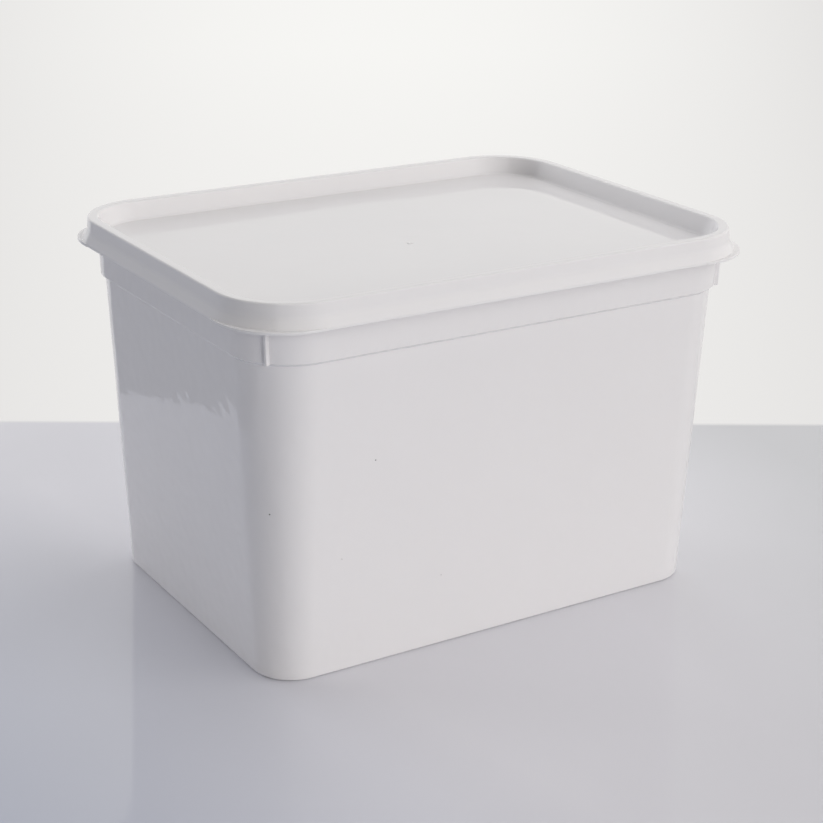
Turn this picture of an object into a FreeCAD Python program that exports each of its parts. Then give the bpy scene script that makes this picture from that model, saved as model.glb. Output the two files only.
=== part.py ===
import FreeCAD, Part
import math
import os

# A rectangular plastic tub with a push-on lid, shut. Millimetres, +Z up, +X along the
# length, origin at the middle of the base, on the surface the tub stands on.
#
# Every outline of the tub and the lid is an offset of one rounded rectangle, the outer
# edge of the lid's flat border. An inset lies inside that outline, a flare outside it,
# and a drop is measured down from the top of the lid.

# Lid border: the outline that all the rest follows
border_length = 221.8
border_width = 164.8
border_corner_radius = 28.2
overall_height = 150.0

# Lid
lid_thickness = 1.1
border_breadth = 4.1
fold_radius = 0.9
panel_drop = 7.3
panel_wall_lean = 2.6
panel_foot_radius = 1.2
crease_drop = 5.2
crease_flare = 0.5
skirt_drop = 9.9
skirt_flare = 2.5
skirt_edge_height = 1.1
lip_corner_radius = 26.0
lip_step = 0.3

# Tub
base_inset = 11.7
base_edge_radius = 1.2
foot_breadth = 6.0
foot_height = 0.8
wall_top_inset = 6.0
ledge_drop = 23.2
ledge_height = 1.4
collar_bottom_inset = 4.2
collar_top_inset = 3.7
collar_height = 12.6
rib_thickness = 1.3
rib_reach = 1.7
rib_tail = 0.5

# Clearances
rim_clearance = 0.35
panel_clearance = 0.3
rib_clearance = 0.3

# Derived places
axis_x = border_length / 2 - border_corner_radius
axis_y = border_width / 2 - border_corner_radius
panel_top = overall_height - panel_drop
skirt_bottom = overall_height - skirt_drop
ledge_top = overall_height - ledge_drop
collar_top = ledge_top + collar_height
rim_top = overall_height - lid_thickness
fill_top = panel_top - lid_thickness - panel_clearance

UP = FreeCAD.Vector(0, 0, 1)
ORIGIN = FreeCAD.Vector(0, 0, 0)


def radius_at(offset):
    """Corner radius of the outline that lies this far outside the border."""
    return border_corner_radius + offset


def rounded_face(corners):
    """Upright face in the XZ plane; each corner is (radius, height, rounding)."""
    points = [FreeCAD.Vector(r, 0, z) for r, z, _ in corners]
    ends = []
    edges = []
    for index, point in enumerate(points):
        rounding = corners[index][2]
        if rounding == 0:
            ends.append((point, point))
            continue
        back = (points[index - 1] - point).normalize()
        ahead = (points[(index + 1) % len(points)] - point).normalize()
        half = back.getAngle(ahead) / 2
        setback = rounding / math.tan(half)
        start = point + back * setback
        finish = point + ahead * setback
        inward = (back + ahead).normalize()
        middle = point + inward * (rounding / math.sin(half) - rounding)
        ends.append((start, finish))
        edges.append(Part.Arc(start, middle, finish).toShape())
    for index, (_, finish) in enumerate(ends):
        following = ends[(index + 1) % len(ends)][0]
        edges.append(Part.makeLine(finish, following))
    return Part.Face(Part.Wire(Part.__sortEdges__(edges)))


def moulding(corners):
    """Carry a profile round the rounded rectangle and fill the middle.

    The profile starts and ends on the corner axis, top first, so the part between the
    four corner axes is a plain slab of the same height.
    """
    face = rounded_face(corners)
    slab_top = corners[0][1]
    slab_bottom = corners[-1][1]
    slab = Part.makeBox(2 * axis_x, 2 * axis_y, slab_top - slab_bottom,
                        FreeCAD.Vector(-axis_x, -axis_y, slab_bottom))
    pieces = []
    for turn, (x, y, run) in enumerate([
            (axis_x, axis_y, 2 * axis_x), (-axis_x, axis_y, 2 * axis_y),
            (-axis_x, -axis_y, 2 * axis_x), (axis_x, -axis_y, 2 * axis_y)]):
        side = face.copy()
        side.rotate(ORIGIN, UP, 90 * turn)
        side.translate(FreeCAD.Vector(x, y, 0))
        pieces.append(side.revolve(FreeCAD.Vector(x, y, 0), UP, 90))
        heading = math.radians(90 * (turn + 2))
        straight = face.copy()
        straight.rotate(ORIGIN, UP, 90 * (turn + 1))
        straight.translate(FreeCAD.Vector(x, y, 0))
        pieces.append(straight.extrude(
            FreeCAD.Vector(math.cos(heading) * run, math.sin(heading) * run, 0)))
    return slab.fuse(pieces).removeSplitter()


def rounded_plate(offset, corner_radius, bottom, height):
    """Flat plate whose outline is a rounded rectangle."""
    length = border_length + 2 * offset
    width = border_width + 2 * offset
    plate = Part.makeBox(length, width, height, FreeCAD.Vector(-length / 2, -width / 2, bottom))
    upright = [edge for edge in plate.Edges
               if abs(edge.Vertexes[0].Z - edge.Vertexes[-1].Z) > height / 2]
    return plate.makeFillet(corner_radius, upright)


def corner_lips():
    """Thin finger lips that stand out from the foot of the skirt at the four corners."""
    bottom = skirt_bottom
    height = skirt_edge_height
    plate = rounded_plate(skirt_flare + lip_step, lip_corner_radius, bottom, height)
    inner_offset = skirt_flare - lid_thickness / 2
    hole = rounded_plate(inner_offset, radius_at(inner_offset), bottom, height)
    ring = plate.cut(hole)
    reach = border_length
    lips = []
    for x_sign in (1, -1):
        for y_sign in (1, -1):
            corner_zone = Part.makeBox(reach, reach, height, FreeCAD.Vector(
                axis_x if x_sign > 0 else -axis_x - reach,
                axis_y if y_sign > 0 else -axis_y - reach, bottom))
            lips.append(ring.common(corner_zone))
    return lips


def make_lid():
    """Lid: recessed panel, flat border, flared skirt and corner lips, one thickness."""
    t = lid_thickness
    foot = border_breadth + panel_wall_lean
    edge_top = skirt_bottom + skirt_edge_height
    crease = overall_height - crease_drop
    shell = moulding([
        (0, panel_top, 0),
        (radius_at(-foot), panel_top, panel_foot_radius),
        (radius_at(-border_breadth), overall_height, fold_radius),
        (radius_at(0), overall_height, fold_radius),
        (radius_at(crease_flare), crease, 0),
        (radius_at(skirt_flare), edge_top, 0),
        (radius_at(skirt_flare), skirt_bottom, 0),
        (radius_at(skirt_flare - t), skirt_bottom, 0),
        (radius_at(skirt_flare - t), edge_top, 0),
        (radius_at(crease_flare - t), crease, 0),
        (radius_at(-t), rim_top, 0),
        (radius_at(t - border_breadth), rim_top, 0),
        (radius_at(t - foot), panel_top - t, 0),
        (0, panel_top - t, 0),
    ])
    return shell.fuse(corner_lips()).removeSplitter()


def corner_ribs():
    """Upright ribs across the collar at the middle of each corner, under the lips."""
    bottom = ledge_top - rib_tail
    top = skirt_bottom - rib_clearance
    root = radius_at(-wall_top_inset - rib_thickness)
    ribs = []
    for x_sign, y_sign, heading in ((1, 1, 45), (-1, 1, 135), (-1, -1, 225), (1, -1, 315)):
        outline = Part.makePolygon([
            FreeCAD.Vector(root, -rib_thickness / 2, bottom),
            FreeCAD.Vector(radius_at(rib_reach - collar_bottom_inset), -rib_thickness / 2, bottom),
            FreeCAD.Vector(radius_at(rib_reach - collar_top_inset), -rib_thickness / 2, top),
            FreeCAD.Vector(root, -rib_thickness / 2, top),
            FreeCAD.Vector(root, -rib_thickness / 2, bottom)])
        rib = Part.Face(outline).extrude(FreeCAD.Vector(0, rib_thickness, 0))
        rib.rotate(ORIGIN, UP, heading)
        rib.translate(FreeCAD.Vector(x_sign * axis_x, y_sign * axis_y, 0))
        ribs.append(rib)
    return ribs


def make_tub():
    """Tub, filled: foot, drafted wall, ledge, collar with ribs, and the rim in the lid."""
    rim_outer = -lid_thickness - rim_clearance
    rim_inner = lid_thickness + rim_clearance - border_breadth
    body = moulding([
        (0, fill_top, 0),
        (radius_at(rim_inner - panel_wall_lean), fill_top, 0),
        (radius_at(rim_inner), rim_top, 0),
        (radius_at(rim_outer), rim_top, 0),
        (radius_at(rim_outer), overall_height - crease_drop, 0),
        (radius_at(-collar_top_inset), collar_top, 0),
        (radius_at(-collar_bottom_inset), ledge_top, 0),
        (radius_at(-wall_top_inset), ledge_top - ledge_height, 0),
        (radius_at(-base_inset), 0, base_edge_radius),
        (radius_at(-base_inset - foot_breadth), 0, 0),
        (radius_at(-base_inset - foot_breadth), foot_height, 0),
        (0, foot_height, 0),
    ])
    return body.fuse(corner_ribs()).removeSplitter()


os.makedirs("parts", exist_ok=True)
for node, shape in (("tub", make_tub()), ("lid", make_lid())):
    solid = shape.Solids[0]
    solid.exportStep("parts/" + node + ".step")
    print(node, "solids", len(shape.Solids), "valid", solid.isValid(), "volume", round(solid.Volume))
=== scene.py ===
import logging
import math
from dataclasses import dataclass, field
from enum import Enum
from typing import Any

import bmesh
import bpy
from mathutils import Matrix, Vector, noise


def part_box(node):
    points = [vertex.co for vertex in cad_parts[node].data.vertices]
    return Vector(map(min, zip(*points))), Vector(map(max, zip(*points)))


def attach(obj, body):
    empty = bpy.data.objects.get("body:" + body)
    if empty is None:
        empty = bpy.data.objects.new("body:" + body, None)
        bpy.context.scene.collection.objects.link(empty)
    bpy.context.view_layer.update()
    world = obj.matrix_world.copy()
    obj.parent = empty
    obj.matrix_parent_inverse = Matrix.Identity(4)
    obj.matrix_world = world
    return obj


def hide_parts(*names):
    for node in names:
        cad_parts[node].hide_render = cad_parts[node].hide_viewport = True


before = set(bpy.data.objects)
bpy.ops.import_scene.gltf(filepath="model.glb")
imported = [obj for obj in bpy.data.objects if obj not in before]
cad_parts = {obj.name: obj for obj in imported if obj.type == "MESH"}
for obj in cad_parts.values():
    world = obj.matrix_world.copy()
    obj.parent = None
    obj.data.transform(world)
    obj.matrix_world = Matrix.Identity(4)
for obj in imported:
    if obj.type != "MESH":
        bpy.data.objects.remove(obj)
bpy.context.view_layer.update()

# A shut white plastic food tub: a filled tub with a ledge, a collar and corner ribs, and a
# push-on lid with a recessed panel and finger lips. Metres, +Z up, +X along the length.

LOG = logging.getLogger("tub")
MM = 0.001
MERGE_DISTANCE = 0.002 * MM
BORDER_CORNER_RADIUS = 28.2 * MM
CORNER_SIGNS = ((1, 1), (-1, 1), (-1, -1), (1, -1))

Colour = tuple[float, float, float, float]


# ---------------------------------------------------------------- outlines and sections

@dataclass(frozen=True)
class Outline:
    """Rounded rectangle seen from above, centred on the origin."""

    half_length: float
    half_width: float
    corner_radius: float

    @property
    def axis_x(self) -> float:
        """Distance of a corner's centre of curvature from the middle, along X."""
        return self.half_length - self.corner_radius

    @property
    def axis_y(self) -> float:
        """Distance of a corner's centre of curvature from the middle, along Y."""
        return self.half_width - self.corner_radius


@dataclass(frozen=True)
class Bend:
    """One corner of an upright section.

    Args:
        flare: how far outside the border outline it stands; negative is inside.
        height: height above the table.
        setback: how far back from the corner its rounding starts; 0 leaves it sharp.
    """

    flare: float
    height: float
    setback: float = 0.0


@dataclass
class Moulding:
    """Carries an upright section round a rounded rectangle and closes its middle."""

    outline: Outline
    arc_steps: int = 28
    rounding_steps: int = 6
    cell: float = 4 * MM
    mesh: bmesh.types.BMesh = field(default_factory=bmesh.new)

    def build(self, bends: list[Bend]) -> bmesh.types.BMesh:
        """Make the closed shell of a section.

        Args:
            bends: the section's corners, from the corner axis at one face round the
                outside to the corner axis at the other face.

        Returns:
            The closed mesh with its faces pointing outwards.
        """
        axis = -self.outline.corner_radius
        section = self._section([Bend(axis, bends[0].height), *bends,
                                 Bend(axis, bends[-1].height)])
        x, y = self.outline.axis_x, self.outline.axis_y
        columns, rows = self._cells(2 * x), self._cells(2 * y)
        runs = ((-1, 0, columns), (0, -1, rows), (1, 0, columns), (0, 1, rows))
        for (sign_x, sign_y), (run_x, run_y, count) in zip(CORNER_SIGNS, runs):
            section = self._turn(section, sign_x * x, sign_y * y)
            stride = Vector((run_x * 2 * x / columns, run_y * 2 * y / rows, 0))
            section = self._run(section, stride, count)
        for height in (bends[0].height, bends[-1].height):
            place = Matrix.Translation((0, 0, height)) @ Matrix.Diagonal((2 * x, 2 * y, 1, 1))
            bmesh.ops.create_grid(self.mesh, x_segments=columns, y_segments=rows, size=0.5,
                                  matrix=place)
        bmesh.ops.remove_doubles(self.mesh, verts=self.mesh.verts, dist=MERGE_DISTANCE)
        bmesh.ops.recalc_face_normals(self.mesh, faces=self.mesh.faces)
        return self.mesh

    def _cells(self, length: float) -> int:
        """Number of cells that a stretch of this length is cut into."""
        return max(1, round(length / self.cell))

    def _section(self, bends: list[Bend]) -> list[bmesh.types.BMEdge]:
        """Draw the section at the first corner.

        Args:
            bends: the section's corners in order.

        Returns:
            Its edges, roundings included, none longer than about a cell.
        """
        x, y, radius = self.outline.axis_x, self.outline.axis_y, self.outline.corner_radius
        points = [self.mesh.verts.new((x + radius + bend.flare, y, bend.height))
                  for bend in bends]
        for first, second in zip(points, points[1:]):
            self.mesh.edges.new((first, second))
        for point, bend in zip(points, bends):
            if bend.setback:
                bmesh.ops.bevel(self.mesh, geom=[point], offset=bend.setback,
                                offset_type="OFFSET", segments=self.rounding_steps,
                                profile=0.5, affect="VERTICES", material=-1)
        for edge in self.mesh.edges[:]:
            cuts = self._cells(edge.calc_length()) - 1
            if cuts:
                bmesh.ops.subdivide_edges(self.mesh, edges=[edge], cuts=cuts)
        return self.mesh.edges[:]

    def _turn(self, section: list[bmesh.types.BMEdge], x: float,
              y: float) -> list[bmesh.types.BMEdge]:
        """Spin the section a quarter turn about a corner axis.

        Args:
            section: the edges to spin.
            x: where the axis stands along X.
            y: where it stands along Y.

        Returns:
            The edges at the end of the turn.
        """
        made = bmesh.ops.spin(self.mesh, geom=section, cent=(x, y, 0), axis=(0, 0, 1),
                              dvec=(0, 0, 0), angle=math.pi / 2, steps=self.arc_steps)
        return [part for part in made["geom_last"] if isinstance(part, bmesh.types.BMEdge)]

    def _run(self, section: list[bmesh.types.BMEdge], stride: Vector,
             count: int) -> list[bmesh.types.BMEdge]:
        """Carry the section along a straight side in equal strides.

        Args:
            section: the edges to carry.
            stride: one stride.
            count: number of strides.

        Returns:
            The edges at the end of the side.
        """
        made = bmesh.ops.spin(self.mesh, geom=section, cent=(0, 0, 0), axis=(0, 0, 1),
                              dvec=stride, angle=0, steps=count)
        return [part for part in made["geom_last"] if isinstance(part, bmesh.types.BMEdge)]


@dataclass(frozen=True)
class Ripple:
    """The slight waves that a wall takes on as its plastic cools.

    Args:
        swing: largest movement in or out.
        length: size of a wave.
        fade: distance over which the waves grow from nothing at both ends.
        seed: shifts the pattern.
    """

    swing: float
    length: float
    fade: float
    seed: float

    def press(self, mesh: bmesh.types.BMesh, low: float, high: float) -> None:
        """Push the faces between two heights in and out.

        Args:
            mesh: the mesh to move.
            low: height where the waves start.
            high: height where they end.
        """
        mesh.normal_update()
        moves = []
        for vert in mesh.verts:
            inside = min(vert.co.z - low, high - vert.co.z) / self.fade
            if inside <= 0:
                continue
            place = vert.co / self.length + Vector((self.seed, self.seed, self.seed))
            swing = noise.noise(place) * self.swing * min(1.0, inside)
            moves.append((vert, vert.normal * swing))
        for vert, move in moves:
            vert.co += move


def to_object(mesh: bmesh.types.BMesh, name: str, weighted: bool = True) -> bpy.types.Object:
    """Turn a finished bmesh into a smooth-shaded object at the origin.

    Args:
        mesh: the bmesh, which is freed.
        name: name of the piece.
        weighted: shade large faces flat right up to their roundings.

    Returns:
        The linked object.
    """
    for face in mesh.faces:
        face.smooth = True
    data = bpy.data.meshes.new(name)
    mesh.to_mesh(data)
    mesh.free()
    piece = bpy.data.objects.new(name, data)
    bpy.context.scene.collection.objects.link(piece)
    if weighted:
        shading = piece.modifiers.new("even shading", "WEIGHTED_NORMAL")
        shading.mode = "FACE_AREA"
        shading.weight = 100
    return piece


# ---------------------------------------------------------------- shader writing

class Signal:
    """A shader socket that plain arithmetic can be done on."""

    def __init__(self, board: "Board", socket: bpy.types.NodeSocket) -> None:
        """Keep the socket and the board its nodes go on."""
        self.board = board
        self.socket = socket

    def other(self, output: int | str) -> "Signal":
        """Another output of the node that this one comes from."""
        return Signal(self.board, self.socket.node.outputs[output])

    def _math(self, operation: str, first: "Signal | float", second: "Signal | float") -> "Signal":
        """Add one Math node and return its result."""
        return self.board.node("ShaderNodeMath", {"operation": operation}, {0: first, 1: second})

    def __add__(self, other: "Signal | float") -> "Signal":
        """self + other."""
        return self._math("ADD", self, other)

    def __radd__(self, other: float) -> "Signal":
        """other + self."""
        return self._math("ADD", other, self)

    def __sub__(self, other: "Signal | float") -> "Signal":
        """self - other."""
        return self._math("SUBTRACT", self, other)

    def __rsub__(self, other: float) -> "Signal":
        """other - self."""
        return self._math("SUBTRACT", other, self)

    def __mul__(self, other: "Signal | float") -> "Signal":
        """self * other."""
        return self._math("MULTIPLY", self, other)

    def __rmul__(self, other: float) -> "Signal":
        """other * self."""
        return self._math("MULTIPLY", other, self)

    def __truediv__(self, other: "Signal | float") -> "Signal":
        """self / other."""
        return self._math("DIVIDE", self, other)

    def __rtruediv__(self, other: float) -> "Signal":
        """other / self."""
        return self._math("DIVIDE", other, self)


class Board:
    """The node tree of one material or of the world."""

    def __init__(self, tree: bpy.types.NodeTree) -> None:
        """Start from an empty tree."""
        self.tree = tree
        tree.nodes.clear()

    def node(self, kind: str, settings: dict[str, Any], inputs: dict[int | str, Any],
             output: int | str = 0) -> Signal:
        """Add a node.

        Args:
            kind: the node's type.
            settings: its properties, set before its sockets.
            inputs: values or signals for its sockets, by name or number.
            output: the socket to hand on.

        Returns:
            The chosen output as a signal.
        """
        made = self.tree.nodes.new(kind)
        for name, value in settings.items():
            setattr(made, name, value)
        for name, value in inputs.items():
            if isinstance(value, Signal):
                self.tree.links.new(value.socket, made.inputs[name])
            else:
                made.inputs[name].default_value = value
        return Signal(self, made.outputs[output])

    def place(self) -> Signal:
        """Place on the piece, in metres."""
        return self.node("ShaderNodeTexCoord", {}, {}, output="Object")

    def clouds(self, place: Signal, size: float, detail: float) -> Signal:
        """Smooth noise, mostly from 0.3 to 0.7.

        Args:
            place: where it is read.
            size: size of a cloud, in metres.
            detail: how many finer layers lie on it.

        Returns:
            The noise.
        """
        return self.node("ShaderNodeTexNoise", {},
                         {"Vector": place, "Scale": 1 / size, "Detail": detail})

    def share(self, value: Signal, low: float, high: float) -> Signal:
        """How far a value has come from low to high, kept from 0 to 1."""
        return self.node("ShaderNodeMapRange", {"clamp": True},
                         {"Value": value, "From Min": low, "From Max": high})

    def mix(self, share: Signal, first: Any, second: Any) -> Signal:
        """Blend two colours by a share from 0 to 1."""
        return self.node("ShaderNodeMix", {"data_type": "RGBA", "clamp_factor": True},
                         {0: share, 6: first, 7: second}, output=2)

    def seen(self) -> Signal:
        """1 for what is looked at, directly or in a mirror image, and 0 for stray light."""
        straight = self.node("ShaderNodeLightPath", {}, {}, output="Is Camera Ray")
        return straight + straight.other("Is Glossy Ray") + straight.other("Is Transmission Ray")

    def close(self, kind: str, surface: Signal) -> None:
        """End the tree in a material or world output."""
        made = self.tree.nodes.new(kind)
        self.tree.links.new(surface.socket, made.inputs["Surface"])


def new_material(name: str) -> tuple[bpy.types.Material, Board]:
    """Start an empty material.

    Args:
        name: the material's name.

    Returns:
        The material, and the board that its nodes go on.
    """
    made = bpy.data.materials.new(name)
    made.use_nodes = True
    return made, Board(made.node_tree)


# ---------------------------------------------------------------- finishes

class Gloss(Enum):
    """How rough a finish is at its smoothest."""

    POLISHED = 0.02
    DRY = 0.8


@dataclass(frozen=True)
class PlasticFinish:
    """Glossy moulded polypropylene: faint clouding, flow marks and a fine orange peel.

    Args:
        name: the material's name.
        light: colour of the palest clouds.
        shade: colour between them.
        gloss: how well the mould was polished.
        blur: how much rougher the palest clouds are.
        cloud_size: size of a cloud; cloud_detail is its number of finer layers.
        peel_size: size of a dimple of the orange peel; peel_depth is how deep it is.
        flow_size: size of a flow mark; flow_depth is how deep it is.
        refraction: how strongly the plastic bends light.
        glow: share of the light that sinks in before it comes out.
        glow_reach: how far it travels inside.
        glow_tint: how far each colour travels, as a share of that.
    """

    name: str
    light: Colour
    shade: Colour
    gloss: Gloss = Gloss.POLISHED
    blur: float = 0.015
    cloud_size: float = 45 * MM
    cloud_detail: float = 3.0
    peel_size: float = 5 * MM
    peel_depth: float = 0.11 * MM
    flow_size: float = 18 * MM
    flow_depth: float = 0.15 * MM
    refraction: float = 1.49
    glow: float = 0.12
    glow_reach: float = 2 * MM
    glow_tint: tuple[float, float, float] = (1.0, 0.95, 0.9)

    def material(self) -> bpy.types.Material:
        """Build the material.

        Returns:
            The material, ready to be put on a piece.
        """
        made, board = new_material(self.name)
        place = board.place()
        cloud = board.clouds(place, self.cloud_size, self.cloud_detail)
        peel = board.node("ShaderNodeBump", {}, {
            "Height": board.clouds(place, self.peel_size, 0.0),
            "Distance": self.peel_depth,
            "Strength": 1.0,
        })
        flow = board.node("ShaderNodeBump", {}, {
            "Height": board.clouds(place, self.flow_size, 0.0),
            "Distance": self.flow_depth,
            "Strength": 1.0,
            "Normal": peel,
        })
        surface = board.node("ShaderNodeBsdfPrincipled", {}, {
            "Base Color": board.mix(cloud, self.shade, self.light),
            "Roughness": self.gloss.value + self.blur * cloud,
            "Normal": flow,
            "IOR": self.refraction,
            "Subsurface Weight": self.glow,
            "Subsurface Radius": self.glow_tint,
            "Subsurface Scale": self.glow_reach,
        })
        board.close("ShaderNodeOutputMaterial", surface)
        return made


@dataclass(frozen=True)
class DustFinish:
    """Dry dark grit, darker between its grains.

    Args:
        name: the material's name.
        colour: colour of a grain.
        gloss: how rough the grit is at its smoothest.
        blur: how much rougher the palest grains are.
        grain_size: size of a grain; grain_detail is its number of finer layers.
        darkening: colour between the grains, as a share of theirs.
    """

    name: str
    colour: Colour
    gloss: Gloss = Gloss.DRY
    blur: float = 0.1
    grain_size: float = MM / 9
    grain_detail: float = 2.0
    darkening: float = 0.6

    def material(self) -> bpy.types.Material:
        """Build the material.

        Returns:
            The material, ready to be put on a piece.
        """
        made, board = new_material(self.name)
        grain = board.clouds(board.place(), self.grain_size, self.grain_detail)
        darker = tuple(channel * self.darkening for channel in self.colour[:3]) + (1.0,)
        surface = board.node("ShaderNodeBsdfPrincipled", {}, {
            "Base Color": board.mix(grain, darker, self.colour),
            "Roughness": self.gloss.value + self.blur * grain,
        })
        board.close("ShaderNodeOutputMaterial", surface)
        return made


TUB_WHITE = PlasticFinish("tub_white", (0.865, 0.85, 0.85, 1), (0.85, 0.835, 0.836, 1))
LID_WHITE = PlasticFinish("lid_white", (0.88, 0.865, 0.86, 1), (0.84, 0.825, 0.828, 1),
                          cloud_size=60 * MM, peel_depth=0.008 * MM, flow_depth=0.02 * MM)
GRIT = DustFinish("grit", (0.06, 0.055, 0.045, 1))


# ---------------------------------------------------------------- the lid

@dataclass
class Lid:
    """The push-on lid: panel, border, flared skirt and the finger lips at its corners.

    A drop is measured down from the top of the lid, and a flare outwards from the border.
    """

    border: Outline
    top: float
    thickness: float = 1.1 * MM
    border_breadth: float = 4.1 * MM
    border_inner_rounding: float = 0.7 * MM
    border_outer_rounding: float = 0.8 * MM
    inner_fold_rounding: float = 0.1 * MM
    panel_drop: float = 7.3 * MM
    panel_wall_lean: float = 2.6 * MM
    panel_top_rounding: float = 1.0 * MM
    panel_under_rounding: float = 0.3 * MM
    crease_drop: float = 5.2 * MM
    crease_flare: float = 0.5 * MM
    crease_rounding: float = 1.0 * MM
    skirt_drop: float = 9.9 * MM
    skirt_flare: float = 2.5 * MM
    edge_height: float = 1.1 * MM
    edge_top_rounding: float = 0.3 * MM
    edge_foot_rounding: float = 0.25 * MM
    lip_radius: float = 26 * MM
    lip_step: float = 0.3 * MM
    lip_tuck: float = 0.08 * MM
    lip_rounding: float = 0.22 * MM
    lip_rounding_steps: int = 3
    lip_arc_steps: int = 24
    lip_end_steps: int = 3
    gate_place: tuple[float, float] = (-4.4 * MM, -9.4 * MM)
    gate_radius: float = 1.3 * MM
    gate_steps: int = 40
    gate_height: float = 0.08 * MM
    gate_root: float = 0.3 * MM
    gate_ring_share: float = 0.55
    gate_dish_share: float = 0.6
    wave_swing: float = 0.22 * MM
    wave_length: float = 48 * MM
    wave_fade: float = 14 * MM
    dip_share: float = 0.8
    dip_reach: float = 22 * MM

    @property
    def panel(self) -> float:
        """Height of the panel's upper face."""
        return self.top - self.panel_drop

    @property
    def bottom(self) -> float:
        """Height of the foot of the skirt."""
        return self.top - self.skirt_drop

    def build(self) -> list[bpy.types.Object]:
        """Make the lid's shell, its lips and the gate mark on the panel.

        Returns:
            The finished pieces.
        """
        finish = LID_WHITE.material()
        shell, lips, gate = self._shell(), self._lips(), self._gate()
        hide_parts("lid")
        for piece in (shell, lips, gate):
            piece.data.materials.append(finish)
            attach(piece, "root")
        return [shell, lips, gate]

    def _shell(self) -> bpy.types.Object:
        """Mould the lid from its section.

        Returns:
            The shell.
        """
        wall = self.thickness
        foot = -self.border_breadth - self.panel_wall_lean
        crease = self.top - self.crease_drop
        edge = self.bottom + self.edge_height
        mesh = Moulding(self.border).build([
            Bend(foot, self.panel, self.panel_top_rounding),
            Bend(-self.border_breadth, self.top, self.border_inner_rounding),
            Bend(0, self.top, self.border_outer_rounding),
            Bend(self.crease_flare, crease, self.crease_rounding),
            Bend(self.skirt_flare, edge, self.edge_top_rounding),
            Bend(self.skirt_flare, self.bottom, self.edge_foot_rounding),
            Bend(self.skirt_flare - wall, self.bottom, self.edge_foot_rounding),
            Bend(self.skirt_flare - wall, edge),
            Bend(self.crease_flare - wall, crease),
            Bend(-wall, self.top - wall, self.inner_fold_rounding),
            Bend(wall - self.border_breadth, self.top - wall, self.inner_fold_rounding),
            Bend(wall + foot, self.panel - wall, self.panel_under_rounding),
        ])
        self._sag(mesh)
        return to_object(mesh, "lid_shell")

    def _sag(self, mesh: bmesh.types.BMesh) -> None:
        """Let the panel wave gently and dip around its middle, both faces alike.

        Args:
            mesh: the lid's shell.
        """
        reach_x = self.border.half_length - self.border_breadth - self.panel_wall_lean
        reach_y = self.border.half_width - self.border_breadth - self.panel_wall_lean
        for vert in mesh.verts:
            if abs(vert.co.z - self.panel + self.thickness / 2) > self.thickness:
                continue
            edge = min(reach_x - abs(vert.co.x), reach_y - abs(vert.co.y))
            hold = max(0.0, min(1.0, edge / self.wave_fade))
            place = Vector((vert.co.x, vert.co.y, 0)) / self.wave_length
            dip = math.exp(-(vert.co.x ** 2 + vert.co.y ** 2) / self.dip_reach ** 2)
            vert.co.z += hold * self.wave_swing * (noise.noise(place) - self.dip_share * dip)

    def _lips(self) -> bpy.types.Object:
        """Lay a thin crescent at the foot of the skirt at each corner.

        Returns:
            The four lips as one piece.
        """
        mesh = bmesh.new()
        self._crescent(mesh)
        made = bmesh.ops.extrude_face_region(mesh, geom=mesh.faces[:])
        raised = [part for part in made["geom"] if isinstance(part, bmesh.types.BMVert)]
        bmesh.ops.translate(mesh, verts=raised, vec=(0, 0, self.edge_height))
        bmesh.ops.translate(mesh, verts=mesh.verts,
                            vec=(self.border.axis_x, self.border.axis_y, self.bottom))
        bmesh.ops.recalc_face_normals(mesh, faces=mesh.faces)
        sharp = math.radians(60)
        rims = [edge for edge in mesh.edges if edge.is_manifold
                and edge.calc_face_angle() > sharp]
        bmesh.ops.bevel(mesh, geom=rims, offset=self.lip_rounding, offset_type="OFFSET",
                        segments=self.lip_rounding_steps, profile=0.5, affect="EDGES",
                        material=-1)
        for axis in ("X", "Y"):
            bmesh.ops.mirror(mesh, geom=mesh.verts[:] + mesh.edges[:] + mesh.faces[:],
                             matrix=Matrix.Identity(4), merge_dist=0, axis=axis)
        bmesh.ops.recalc_face_normals(mesh, faces=mesh.faces)
        return to_object(mesh, "lid_lips")

    def _crescent(self, mesh: bmesh.types.BMesh) -> None:
        """Draw and fill one lip, flat, with the corner's axis at the origin.

        Its outer edge is a rounder corner than the skirt's, and runs out into the skirt at
        both ends.

        Args:
            mesh: the empty mesh that takes it.
        """
        inner = self.border.corner_radius + self.skirt_flare - self.thickness / 2
        reach = self.skirt_flare + self.lip_step
        straight = self.border.corner_radius + reach - self.lip_radius
        tuck = self.lip_step + self.lip_tuck
        self._arc(mesh, 0, inner, self.lip_arc_steps + 2 * self.lip_end_steps)
        first, last = self._arc(mesh, straight, self.lip_radius, self.lip_arc_steps)
        for start, slide, inward in ((first, Vector((0, -straight, 0)), (-tuck, 0, 0)),
                                     (last, Vector((-straight, 0, 0)), (0, -tuck, 0))):
            made = bmesh.ops.spin(mesh, geom=[start], cent=(0, 0, 0), axis=(0, 0, 1),
                                  dvec=slide / self.lip_end_steps, angle=0,
                                  steps=self.lip_end_steps)
            tips = [part for part in made["geom_last"] if isinstance(part, bmesh.types.BMVert)]
            bmesh.ops.translate(mesh, verts=tips, vec=inward)
        bmesh.ops.remove_doubles(mesh, verts=mesh.verts, dist=MERGE_DISTANCE)
        bmesh.ops.bridge_loops(mesh, edges=mesh.edges[:])

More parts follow.
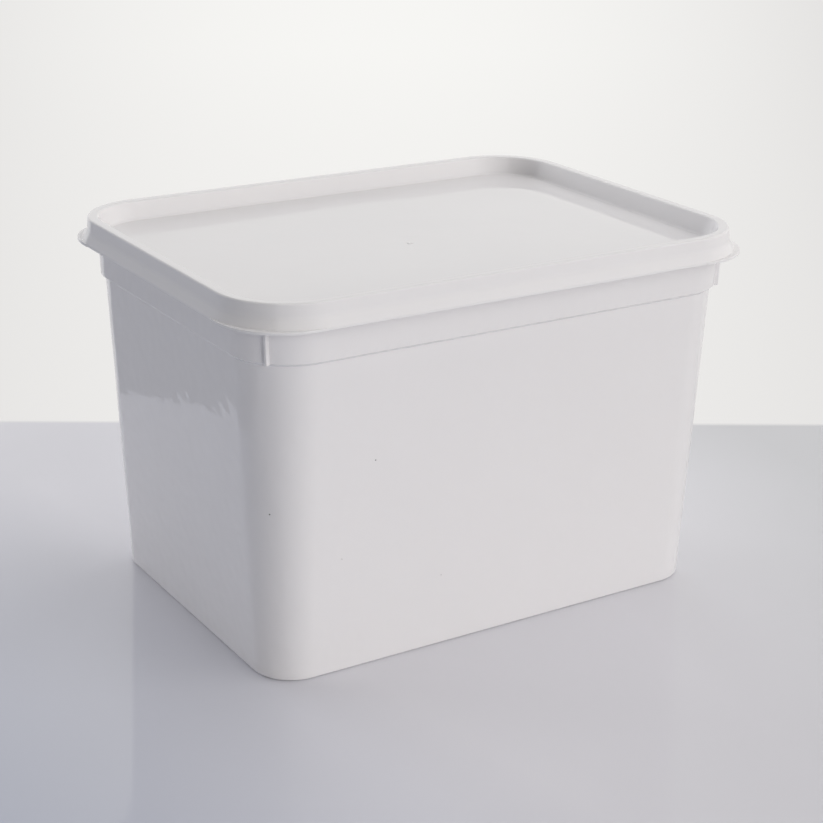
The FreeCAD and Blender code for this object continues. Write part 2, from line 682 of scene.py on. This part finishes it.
    def _arc(self, mesh: bmesh.types.BMesh, centre: float, radius: float,
             steps: int) -> tuple[bmesh.types.BMVert, bmesh.types.BMVert]:
        """Spin a vertex through a quarter turn, from +X to +Y.

        Args:
            mesh: the mesh that takes the arc.
            centre: how far its centre lies along X, and as far along Y.
            radius: its radius.
            steps: number of edges.

        Returns:
            Its first and its last vertex.
        """
        start = mesh.verts.new((centre + radius, centre, 0))
        made = bmesh.ops.spin(mesh, geom=[start], cent=(centre, centre, 0), axis=(0, 0, 1),
                              dvec=(0, 0, 0), angle=math.pi / 2, steps=steps)
        ends = [part for part in made["geom_last"] if isinstance(part, bmesh.types.BMVert)]
        return start, ends[0]

    def _gate(self) -> bpy.types.Object:
        """Raise the small ring left where the plastic entered the mould.

        Returns:
            The ring, rooted in the panel.
        """
        root = self.panel - self.dip_share * self.wave_swing - self.gate_root
        mesh = bmesh.new()
        bmesh.ops.create_circle(mesh, cap_ends=True, segments=self.gate_steps,
                                radius=self.gate_radius,
                                matrix=Matrix.Translation((*self.gate_place, root)))
        made = bmesh.ops.extrude_face_region(mesh, geom=mesh.faces[:])
        raised = [part for part in made["geom"] if isinstance(part, bmesh.types.BMVert)]
        bmesh.ops.translate(mesh, verts=raised, vec=(0, 0, self.gate_root + self.gate_height))
        mesh.normal_update()
        top = [face for face in mesh.faces if face.normal.z > 0.9]
        bmesh.ops.inset_region(mesh, faces=top, thickness=self.gate_ring_share * self.gate_radius,
                               depth=-self.gate_dish_share * self.gate_height)
        bmesh.ops.recalc_face_normals(mesh, faces=mesh.faces)
        return to_object(mesh, "lid_gate")


# ---------------------------------------------------------------- the tub

@dataclass
class Tub:
    """The tub, filled: foot, drafted walls, ledge, collar, rim and four corner ribs.

    An inset is measured inwards from the lid's border. The rim, the fill and the ribs take
    their places from the lid, with a clearance each. rib_turn is how many degrees the ribs
    are turned from straight out of their corners towards the long walls.
    """

    lid: Lid
    foot_height: float = 0.8 * MM
    foot_breadth: float = 6.0 * MM
    foot_rounding: float = 0.3 * MM
    base_inset: float = 11.7 * MM
    base_rounding: float = 1.1 * MM
    wall_top_inset: float = 6.0 * MM
    ledge_drop: float = 23.2 * MM
    ledge_height: float = 1.3 * MM
    ledge_rounding: float = 0.15 * MM
    collar_bottom_inset: float = 4.2 * MM
    collar_top_inset: float = 3.7 * MM
    collar_height: float = 12.6 * MM
    rim_clearance: float = 0.35 * MM
    rim_rounding: float = 0.2 * MM
    fill_clearance: float = 0.3 * MM
    fill_rounding: float = 0.4 * MM
    rib_thickness: float = 1.3 * MM
    rib_reach: float = 1.7 * MM
    rib_turn: float = -20
    rib_tail: float = 0.5 * MM
    rib_clearance: float = 0.3 * MM
    rib_rounding: float = 0.3 * MM
    rib_rounding_steps: int = 4
    ripple: Ripple = Ripple(swing=0.06 * MM, length=26 * MM, fade=12 * MM, seed=3.7)
    ripple_foot: float = 2 * MM
    ripple_stop: float = 1 * MM

    @property
    def ledge(self) -> float:
        """Height of the upper edge of the ledge."""
        return self.lid.top - self.ledge_drop

    @property
    def wall_top(self) -> float:
        """Height of the top of the drafted wall."""
        return self.ledge - self.ledge_height

    def build(self) -> list[bpy.types.Object]:
        """Make the tub's shell and its ribs.

        Returns:
            The finished pieces.
        """
        finish = TUB_WHITE.material()
        shell, ribs = self._shell(), self._ribs()
        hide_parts("tub")
        for piece in (shell, ribs):
            piece.data.materials.append(finish)
            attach(piece, "root")
        return [shell, ribs]

    def _shell(self) -> bpy.types.Object:
        """Mould the filled tub from its section.

        Returns:
            The shell.
        """
        lid = self.lid
        foot_inner = -self.base_inset - self.foot_breadth
        rim_outer = -lid.thickness - self.rim_clearance
        rim_inner = lid.thickness + self.rim_clearance - lid.border_breadth
        rim_top = lid.top - lid.thickness
        fill = lid.panel - lid.thickness - self.fill_clearance
        mesh = Moulding(lid.border).build([
            Bend(foot_inner, self.foot_height, self.foot_rounding),
            Bend(foot_inner, 0, self.foot_rounding),
            Bend(-self.base_inset, 0, self.base_rounding),
            Bend(-self.wall_top_inset, self.wall_top, self.ledge_rounding),
            Bend(-self.collar_bottom_inset, self.ledge, self.ledge_rounding),
            Bend(-self.collar_top_inset, self.ledge + self.collar_height),
            Bend(rim_outer, lid.top - lid.crease_drop),
            Bend(rim_outer, rim_top, self.rim_rounding),
            Bend(rim_inner, rim_top, self.rim_rounding),
            Bend(rim_inner - lid.panel_wall_lean, fill, self.fill_rounding),
        ])
        self.ripple.press(mesh, self.ripple_foot, self.wall_top - self.ripple_stop)
        return to_object(mesh, "tub_shell")

    def _ribs(self) -> bpy.types.Object:
        """Stand a thin rounded rib across the collar at the middle of each corner.

        Returns:
            The four ribs as one piece.
        """
        border = self.lid.border
        bottom = self.ledge - self.rib_tail
        height = self.lid.bottom - self.rib_clearance - bottom
        lean = self.collar_bottom_inset - self.collar_top_inset
        tip = border.corner_radius + self.rib_reach - self.collar_bottom_inset
        root = border.corner_radius - self.wall_top_inset - self.rib_thickness
        mesh = bmesh.new()
        for index, (sign_x, sign_y) in enumerate(CORNER_SIGNS):
            place = (Matrix.Translation((sign_x * border.axis_x, sign_y * border.axis_y,
                                         bottom + height / 2))
                     @ Matrix.Rotation(math.radians(45 + 90 * index), 4, "Z")
                     @ Matrix.Translation(((root + tip) / 2, 0, 0))
                     @ Matrix.Rotation(math.radians(sign_x * sign_y * self.rib_turn), 4, "Z")
                     @ Matrix.Shear("XY", 4, (lean / height, 0))
                     @ Matrix.Diagonal((tip - root, self.rib_thickness, height, 1)))
            bmesh.ops.create_cube(mesh, size=1, matrix=place)
        bmesh.ops.bevel(mesh, geom=mesh.edges[:], offset=self.rib_rounding,
                        offset_type="OFFSET", segments=self.rib_rounding_steps, profile=0.5,
                        affect="EDGES", material=-1)
        return to_object(mesh, "corner_ribs")


@dataclass
class Dust:
    """The few specks of grit that cling to the long wall towards -Y and round its corner.

    Args:
        tub: the tub they cling to.
        thickness: how far through a grain is.
        slimness: width of a grain over its length.
        turn: how far each grain is turned from the one before, in radians.
        grains: one (distance along X, height, width) for each grain.
    """

    tub: Tub
    thickness: float = 0.32 * MM
    slimness: float = 1.3
    turn: float = 0.7
    grains: tuple[tuple[float, float, float], ...] = (
        (-58.5 * MM, 84.2 * MM, 0.55 * MM), (-97.8 * MM, 68.4 * MM, 0.6 * MM),
        (-71.6 * MM, 47.2 * MM, 0.3 * MM), (-27.7 * MM, 30.0 * MM, 0.3 * MM))

    def build(self) -> list[bpy.types.Object]:
        """Press a flattened grain against the wall for each speck.

        Returns:
            The one piece that holds them all.
        """
        tub, border = self.tub, self.tub.lid.border
        mesh = bmesh.new()
        for index, (along, height, width) in enumerate(self.grains):
            draft = height / tub.wall_top * (tub.wall_top_inset - tub.base_inset)
            radius = border.corner_radius - tub.base_inset - draft
            beyond = max(0.0, -border.axis_x - along)
            place = (Matrix.Translation((along + beyond, -border.axis_y, height))
                     @ Matrix.Rotation(-math.asin(beyond / radius), 4, "Z")
                     @ Matrix.Translation((0, -radius, 0))
                     @ Matrix.Rotation(self.turn * index, 4, "Y")
                     @ Matrix.Diagonal((width / 2, self.thickness / 2,
                                        width / 2 / self.slimness, 1)))
            bmesh.ops.create_icosphere(mesh, subdivisions=2, radius=1, matrix=place)
        piece = to_object(mesh, "dust_specks", weighted=False)
        piece.data.materials.append(GRIT.material())
        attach(piece, "root")
        return [piece]


# ---------------------------------------------------------------- studio

@dataclass(frozen=True)
class SoftBox:
    """A flat soft lamp aimed at the tub; its size is (breadth, height)."""

    name: str
    place: tuple[float, float, float]
    size: tuple[float, float]
    watts: float
    colour: tuple[float, float, float]

    def build(self, target: Vector) -> None:
        """Hang the lamp and turn it to the target.

        Args:
            target: the point it is aimed at.
        """
        lamp = bpy.data.lights.new(self.name, "AREA")
        lamp.shape = "RECTANGLE"
        lamp.size, lamp.size_y = self.size
        lamp.energy = self.watts
        lamp.color = self.colour
        holder = bpy.data.objects.new(self.name, lamp)
        holder.location = self.place
        holder.rotation_euler = (target - Vector(self.place)).to_track_quat("-Z", "Y").to_euler()
        holder.visible_glossy = False
        bpy.context.scene.collection.objects.link(holder)


@dataclass
class Camera:
    """The camera, at the tub's left front corner and looking down a little.

    Angles are in degrees: turn goes round the tub from -Y towards +X, dip is below the
    level, and roll is about the line of sight. The lens and the sensor are in millimetres.
    """

    place: tuple[float, float, float] = (-376.83 * MM, -608.31 * MM, 333.55 * MM)
    turn: float = -31.986
    dip: float = 20.349
    roll: float = 0.745
    lens: float = 80.96
    sensor: float = 36

    def build(self) -> None:
        """Stand the camera and make it the scene's."""
        turn, dip, roll = (math.radians(angle) for angle in (self.turn, self.dip, self.roll))
        back = Vector((math.sin(turn) * math.cos(dip), -math.cos(turn) * math.cos(dip),
                       math.sin(dip)))
        right = (-back).cross(Vector((0, 0, 1))).normalized()
        up = right.cross(-back)
        across = right * math.cos(roll) + up * math.sin(roll)
        upright = up * math.cos(roll) - right * math.sin(roll)
        data = bpy.data.cameras.new("camera")
        data.lens = self.lens
        data.sensor_width = self.sensor
        camera = bpy.data.objects.new("camera", data)
        camera.matrix_world = (Matrix.Translation(self.place)
                               @ Matrix((across, upright, back)).transposed().to_4x4())
        bpy.context.scene.collection.objects.link(camera)
        bpy.context.scene.camera = camera


@dataclass
class Table:
    """A glossy table top that turns into a pale sweep behind the tub.

    The table is turned by so many degrees about +Z. "Away" is how far back a place lies on it
    and "right" how far to the right, both from the middle of the tub. The table's grey is
    painted light and shade: darker towards the camera and to the right and lighter round the tub,
    standing in for how the light falls on the table. It changes over near_span, measured along
    away + near_slope * right, and over side_span, measured along right + side_slope * away. The
    sweep is brightest straight behind the tub and falls off to both sides, like a fan that opens
    from fan_start in front of the tub.
    """

    turn: float = -30.54
    half_size: float = 4.0
    cells: int = 8
    gap: float = 0.05 * MM
    end: float = 166.6 * MM
    end_blur: float = 2 * MM
    # Painted light and shade: the tones below make the table darker towards the camera and to the
    # right and lighter round the tub, standing in for how the light falls on it.
    near_slope: float = 1.2
    near_span: tuple[float, float] = (-0.36, -0.12)
    near_painted_shade: Colour = (0.52, 0.545, 0.625, 1)
    middle_painted_light: Colour = (0.82, 0.815, 0.855, 1)
    side_slope: float = 0.4
    side_span: tuple[float, float] = (0.07, 0.24)
    side_painted_shade: Colour = (0.63, 0.634, 0.65, 1)
    roughness: float = 0.04
    haze: float = 0.02
    haze_size: float = 1 / 3
    haze_detail: float = 2.0
    refraction: float = 1.45
    sweep_end: float = 1.3
    sweep_tone: Colour = (0.86, 0.85, 0.835, 1)
    sweep_bright: Colour = (0.925, 0.92, 0.9, 1)
    sweep_side: Colour = (0.78, 0.77, 0.76, 1)
    fan_start: float = 0.9
    fan_fall: float = 0.05

    def build(self) -> None:
        """Lay the table top just under the tub."""
        mesh = bmesh.new()
        bmesh.ops.create_grid(mesh, x_segments=self.cells, y_segments=self.cells,
                              size=self.half_size,
                              matrix=Matrix.Translation((0, 0, -self.gap)))
        floor = to_object(mesh, "floor", weighted=False)
        made, board = new_material("floor_gloss_painted_light")
        place = board.place()
        away, right = self._along(board, place)
        top = self._top(board, place, away, right)
        sweep = self._sweep(board, away, right)
        beyond = board.share(away, self.end - self.end_blur, self.end + self.end_blur)
        surface = board.node("ShaderNodeMixShader", {}, {0: beyond * board.seen(), 1: top, 2: sweep})
        board.close("ShaderNodeOutputMaterial", surface)
        floor.data.materials.append(made)

    def _along(self, board: Board, place: Signal) -> tuple[Signal, Signal]:
        """Measure a place on the floor in the table's own directions.

        Args:
            board: the board that takes the nodes.
            place: the place on the floor.

        Returns:
            How far back it lies, and how far to the right.
        """
        turn = math.radians(-self.turn)
        x = board.node("ShaderNodeSeparateXYZ", {}, {"Vector": place})
        y = x.other("Y")
        away = math.sin(turn) * x + math.cos(turn) * y
        right = math.cos(turn) * x - math.sin(turn) * y
        return away, right

    def _top(self, board: Board, place: Signal, away: Signal, right: Signal) -> Signal:
        """Shade the table top, with its grey painted as light and shade: lighter round the tub,
        darker towards the camera and to the right.

        Args:
            board: the board that takes the nodes.
            place: the place on the floor.
            away: how far back it lies.
            right: how far to the right it lies.

        Returns:
            The glossy surface.
        """
        # Painted light and shade: the table is painted darker towards the camera and to the right
        # and lighter round the tub, standing in for how the light falls on it.
        middle = board.share(away + self.near_slope * right, *self.near_span)
        side = board.share(right + self.side_slope * away, *self.side_span)
        painted_light_and_shade = board.mix(middle, self.near_painted_shade, self.middle_painted_light)
        haze = board.clouds(place, self.haze_size, self.haze_detail)
        return board.node("ShaderNodeBsdfPrincipled", {}, {
            "Base Color": board.mix(side, painted_light_and_shade, self.side_painted_shade),
            "Roughness": self.roughness + self.haze * haze,
            "IOR": self.refraction,
        })

    def _sweep(self, board: Board, away: Signal, right: Signal) -> Signal:
        """Shade the sweep behind the table.

        Args:
            board: the board that takes the nodes.
            away: how far back the place lies.
            right: how far to the right it lies.

        Returns:
            The sweep's glow.
        """
        rise = board.share(away, self.end, self.sweep_end)
        bright = board.mix(rise, self.sweep_tone, self.sweep_bright)
        aside = right / (away + self.fan_start)
        fall = board.share(aside * aside, 0.0, self.fan_fall)
        return board.node("ShaderNodeEmission", {}, {
            "Color": board.mix(fall, bright, self.sweep_side), "Strength": 1.0})


@dataclass
class DarkScreen:
    """A dark upright screen beside the table, which only the tub's gloss shows.

    It stands on the tub's left and runs from far_end towards the camera. It has a short low
    board at its foot and a long high one above; each is (near end, foot, top).
    """

    table: Table
    side: float = 270 * MM
    far_end: float = 0.13
    boards: tuple[tuple[float, float, float], ...] = ((-0.24, 0.0, 0.03), (-1.0, 0.03, 1.2))
    tone: Colour = (0.04, 0.045, 0.06, 1)

    def build(self) -> None:
        """Stand the screen and hide it from all but mirror images."""
        mesh = bmesh.new()
        for near_end, foot, top in self.boards:
            place = (Matrix.Rotation(math.radians(self.table.turn), 4, "Z")
                     @ Matrix.Translation((-self.side, (self.far_end + near_end) / 2,
                                           (foot + top) / 2))
                     @ Matrix.Rotation(math.radians(90), 4, "Y")
                     @ Matrix.Diagonal((top - foot, self.far_end - near_end, 1, 1)))
            bmesh.ops.create_grid(mesh, x_segments=1, y_segments=1, size=0.5, matrix=place)
        screen = to_object(mesh, "room_screen", weighted=False)
        made, board = new_material("room_dark")
        board.close("ShaderNodeOutputMaterial", board.node("ShaderNodeEmission", {}, {
            "Color": self.tone, "Strength": 1.0}))
        screen.data.materials.append(made)
        screen.visible_camera = False
        screen.visible_diffuse = False
        screen.visible_shadow = False


@dataclass
class Studio:
    """Camera, table, screen, lamps aimed at the target, and the light from all round."""

    table: Table = field(default_factory=Table)
    target: tuple[float, float, float] = (0, 0, 0.07)
    lamps: tuple[SoftBox, ...] = (
        SoftBox("key", (2.0, -2.2, 1.9), (2.4, 1.5), 27.5, (1.0, 0.98, 0.97)),
        SoftBox("front", (0.15, -3.1, 0.8), (2.0, 1.5), 38.5, (1.0, 0.98, 0.97)),
        SoftBox("overhead", (0.56, 0.07, 1.36), (1.2, 1.2), 6.6, (1.0, 0.98, 0.97)),
        SoftBox("back left", (-1.25, 2.2, 0.55), (2.0, 1.0), 32.5, (0.94, 0.95, 1.0)),
        SoftBox("back", (0.3, 2.6, 1.8), (2.4, 1.4), 25.2, (0.97, 0.98, 1.0)),
    )
    ambient: float = 0.15
    ambient_tone: Colour = (0.95, 0.95, 1.0, 1)

    def build(self) -> None:
        """Set everything up."""
        bpy.context.scene.view_settings.view_transform = "Standard"
        Camera().build()
        self.table.build()
        DarkScreen(self.table).build()
        self._world()
        for lamp in self.lamps:
            lamp.build(Vector(self.target))

    def _world(self) -> None:
        """Light from all round, and a pale backdrop where it is looked at."""
        world = bpy.data.worlds.new("backdrop")
        bpy.context.scene.world = world
        world.use_nodes = True
        board = Board(world.node_tree)
        soft = board.node("ShaderNodeBackground", {},
                          {"Color": self.ambient_tone, "Strength": self.ambient})
        plain = board.node("ShaderNodeBackground", {},
                           {"Color": self.table.sweep_bright, "Strength": 1.0})
        both = board.node("ShaderNodeMixShader", {}, {0: board.seen(), 1: soft, 2: plain})
        board.close("ShaderNodeOutputWorld", both)


def main() -> None:
    """Build the studio, the tub, the lid and the dust, and report every piece."""
    logging.basicConfig(level=logging.INFO, format="%(name)s: %(message)s")
    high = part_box("lid")[1]
    lip_reach = Lid.skirt_flare + Lid.lip_step
    border = Outline(high.x - lip_reach, high.y - lip_reach, BORDER_CORNER_RADIUS)
    lid = Lid(border, high.z)
    tub = Tub(lid)
    Studio().build()
    for part in (tub, lid, Dust(tub)):
        for piece in part.build():
            LOG.info("%s: %d faces", piece.name, len(piece.data.polygons))


if __name__ == "__main__":
    main()
